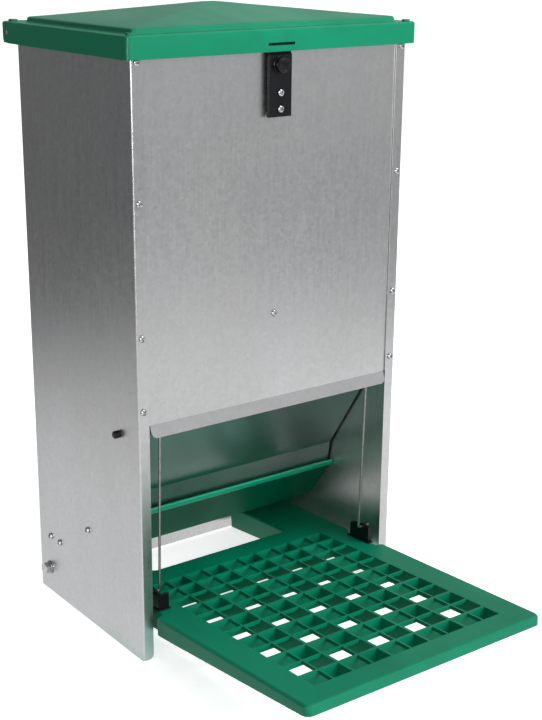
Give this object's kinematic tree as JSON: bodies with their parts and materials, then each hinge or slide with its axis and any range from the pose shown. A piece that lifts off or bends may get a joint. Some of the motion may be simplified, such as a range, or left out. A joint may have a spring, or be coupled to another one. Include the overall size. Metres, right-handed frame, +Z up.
{
  "type": "treadle poultry feeder",
  "caption": "Tall sheet-metal hopper feeder with a hinged moulded lid and a grid treadle that lifts a flap over the feed trough when a bird stands on it.",
  "frame": {"origin": "centre of the bounding box's bottom face, on the floor", "axes": "+Z up, front with the treadle faces -Y, +X to the right when looking along +Y"},
  "size_m": [0.284, 0.3966, 0.5298],
  "materials": {
    "galvanised_sheet": "galvanised, faint grain, semi-bright",
    "zinc_plated_steel": "bright zinc plate",
    "steel_wire": "drawn bright wire",
    "green_lid_plastic": "semi-gloss moulded plastic",
    "green_satin_plastic": "satin moulded plastic",
    "black_plastic": "satin moulded plastic"
  },
  "bodies": {
    "feeder_body": {"body_shell": "galvanised_sheet", "front_panel": "galvanised_sheet", "hopper_baffle": "galvanised_sheet", "trough": "green_satin_plastic", "flap_axle": "steel_wire", "left_axle_cap": "black_plastic", "right_axle_cap": "black_plastic", "left_pivot_bolt": "zinc_plated_steel", "left_pivot_washer": "zinc_plated_steel", "left_pivot_nut": "zinc_plated_steel", "right_pivot_bolt": "zinc_plated_steel", "right_pivot_washer": "zinc_plated_steel", "right_pivot_nut": "zinc_plated_steel", "left_hinge_bracket": "zinc_plated_steel", "right_hinge_bracket": "zinc_plated_steel", "left_flange_screw_1": "zinc_plated_steel", "left_flange_screw_2": "zinc_plated_steel", "left_flange_screw_3": "zinc_plated_steel", "left_flange_screw_4": "zinc_plated_steel", "right_flange_screw_1": "zinc_plated_steel", "right_flange_screw_2": "zinc_plated_steel", "right_flange_screw_3": "zinc_plated_steel", "right_flange_screw_4": "zinc_plated_steel", "baffle_screw": "zinc_plated_steel", "left_trough_screw_front": "zinc_plated_steel", "left_trough_screw_mid": "zinc_plated_steel", "left_trough_screw_rear": "zinc_plated_steel", "right_trough_screw_front": "zinc_plated_steel", "right_trough_screw_mid": "zinc_plated_steel", "right_trough_screw_rear": "zinc_plated_steel", "latch_screw_lower": "zinc_plated_steel", "latch_screw_upper": "zinc_plated_steel"},
    "lid": {"lid": "green_lid_plastic", "lid_hinge_rod": "steel_wire"},
    "latch": {"latch_plate": "black_plastic", "latch_knob": "black_plastic"},
    "flap": {"flap": "galvanised_sheet", "left_flap_lever": "zinc_plated_steel", "right_flap_lever": "zinc_plated_steel"},
    "treadle": {"treadle": "green_satin_plastic", "left_rod_clip": "black_plastic", "right_rod_clip": "black_plastic"},
    "left_rod": {"left_lift_rod": "steel_wire"},
    "right_rod": {"right_lift_rod": "steel_wire"}
  },
  "joints": [
    {"name": "treadle_hinge", "type": "hinge", "parent": "feeder_body", "child": "treadle", "pos_m": [0, 0.16927, 0.0228], "axis": [1, 0, 0], "range_deg": [0, 6], "stiffness_Nm_per_rad": 6, "springref_deg": -14.9},
    {"name": "flap_hinge", "type": "hinge", "parent": "feeder_body", "child": "flap", "pos_m": [0, 0.03687, 0.195], "axis": [1, 0, 0], "range_deg": [0, 38.5]},
    {"name": "left_rod_hinge", "type": "hinge", "parent": "treadle", "child": "left_rod", "pos_m": [-0.11, 0.01843, 0.0545], "axis": [1, 0, 0], "range_deg": [-7, 0]},
    {"name": "right_rod_hinge", "type": "hinge", "parent": "treadle", "child": "right_rod", "pos_m": [0.11, 0.01843, 0.0545], "axis": [1, 0, 0], "range_deg": [-7, 0]},
    {"name": "lid_hinge", "type": "hinge", "parent": "feeder_body", "child": "lid", "pos_m": [0, 0.19177, 0.505], "axis": [-1, 0, 0], "range_deg": [0, 105]},
    {"name": "latch_press", "type": "hinge", "parent": "feeder_body", "child": "latch", "pos_m": [0, 0.00217, 0.4575], "axis": [-1, 0, 0], "range_deg": [0, 2.8], "stiffness_Nm_per_rad": 0.5, "springref_deg": -2.86}
  ],
  "couplings": [
    {"joint": "flap_hinge", "follows": "treadle_hinge", "ratio": 6.37},
    {"joint": "left_rod_hinge", "follows": "treadle_hinge", "ratio": -1.1},
    {"joint": "right_rod_hinge", "follows": "treadle_hinge", "ratio": -1.1}
  ]
}
